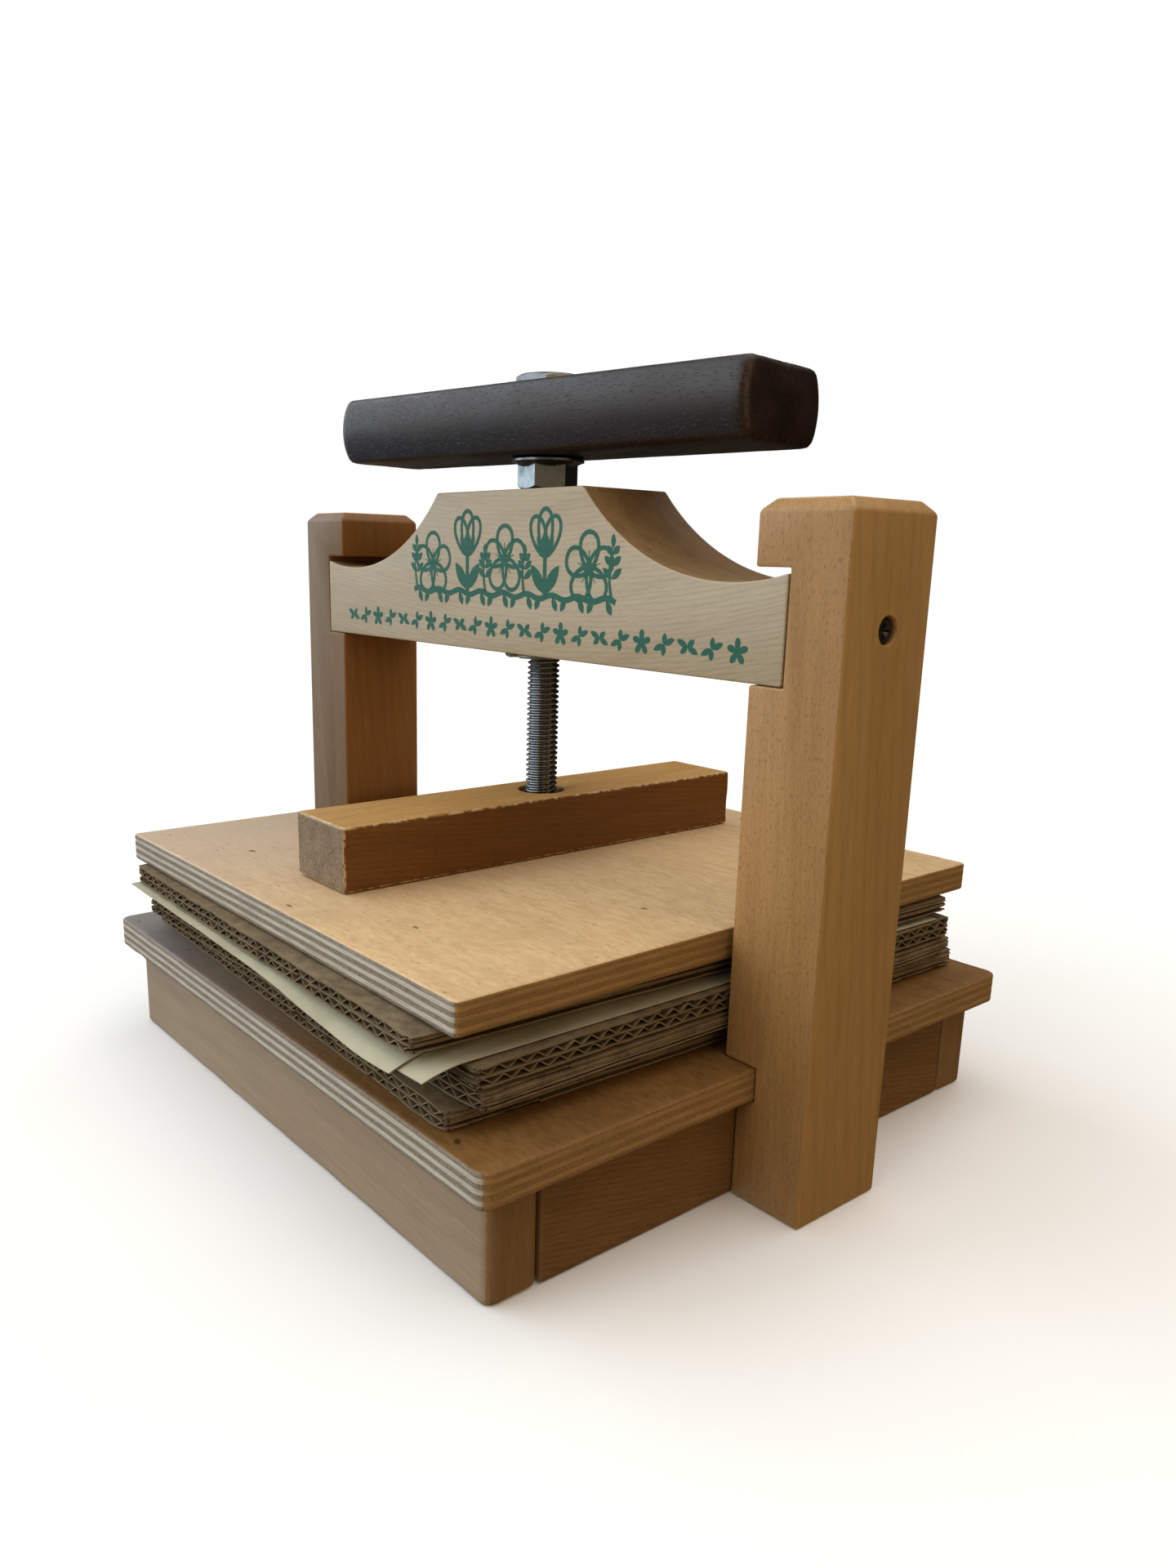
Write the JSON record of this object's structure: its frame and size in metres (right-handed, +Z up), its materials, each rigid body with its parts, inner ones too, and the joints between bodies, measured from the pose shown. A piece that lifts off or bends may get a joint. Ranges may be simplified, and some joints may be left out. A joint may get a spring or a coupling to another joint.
{
  "type": "flower press",
  "caption": "Wooden screw press with a bar handle, a crossbeam on two uprights, and a loose stack of boards, corrugated sheets and papers.",
  "frame": {"origin": "bottom centre of the whole press, its overhanging papers included; the screw's axis is at y = 3.85 mm", "axes": "+X along the crossbeam, -Y the open front with the printed side of the crossbeam, +Z up along the screw"},
  "size_m": [0.2658, 0.2248, 0.2303],
  "materials": {
    "plywood": "birch plywood, oiled faces and bare edges",
    "rail": "plain softwood rails, lightly varnished",
    "upright": "oiled beech, satin",
    "beam": "pale beech, matte, with a green printed flower band",
    "bar": "reddish beech, worn edges",
    "handle": "dark stained hardwood, satin",
    "zinc": "zinc plated",
    "black_steel": "blackened",
    "cardboard": "double wall corrugated board",
    "paper": "cream blotting paper"
  },
  "bodies": {
    "frame": {"base_board": "plywood", "front_rail": "rail", "back_rail": "rail", "left_rail": "rail", "right_rail": "rail", "left_upright": "upright", "right_upright": "upright", "crossbeam": "beam", "t_nut": "zinc", "beam_screw_left": "black_steel", "beam_screw_right": "black_steel", "rail_screw_left_front": "zinc", "rail_screw_left_back": "zinc", "rail_screw_right_front": "zinc", "rail_screw_right_back": "zinc"},
    "press_bar": {"press_bar": "bar", "bearing_disc": "zinc"},
    "screw": {"press_screw": "zinc", "flange_nut": "zinc", "handle": "handle"},
    "top_board": {"top_board": "plywood"},
    "cardboard_1": {"cardboard_1": "cardboard"},
    "cardboard_2": {"cardboard_2": "cardboard", "blotting_paper_upper": "paper", "blotting_paper_lower": "paper"},
    "cardboard_3": {"cardboard_3": "cardboard"},
    "cardboard_4": {"cardboard_4": "cardboard"}
  },
  "joints": [
    {"name": "press_travel", "type": "slide", "parent": "frame", "child": "press_bar", "axis": [0, 0, 1], "range_m": [0, 0.042]},
    {"name": "screw_turn", "type": "hinge", "parent": "press_bar", "child": "screw", "pos_m": [0, 0.00385, 0.15], "axis": [0, 0, 1], "range_deg": [0, 8640]},
    {"name": "top_board_draw", "type": "slide", "parent": "frame", "child": "top_board", "axis": [0, -1, 0], "range_m": [0, 0.22]},
    {"name": "cardboard_1_draw", "type": "slide", "parent": "frame", "child": "cardboard_1", "axis": [0, -1, 0], "range_m": [0, 0.22]},
    {"name": "cardboard_2_draw", "type": "slide", "parent": "frame", "child": "cardboard_2", "axis": [0, -1, 0], "range_m": [0, 0.22]},
    {"name": "cardboard_3_draw", "type": "slide", "parent": "frame", "child": "cardboard_3", "axis": [0, -1, 0], "range_m": [0, 0.22]},
    {"name": "cardboard_4_draw", "type": "slide", "parent": "frame", "child": "cardboard_4", "axis": [0, -1, 0], "range_m": [0, 0.22]}
  ],
  "couplings": [
    {"joint": "press_travel", "follows": "screw_turn", "m_per_rad": 0.00027852}
  ]
}
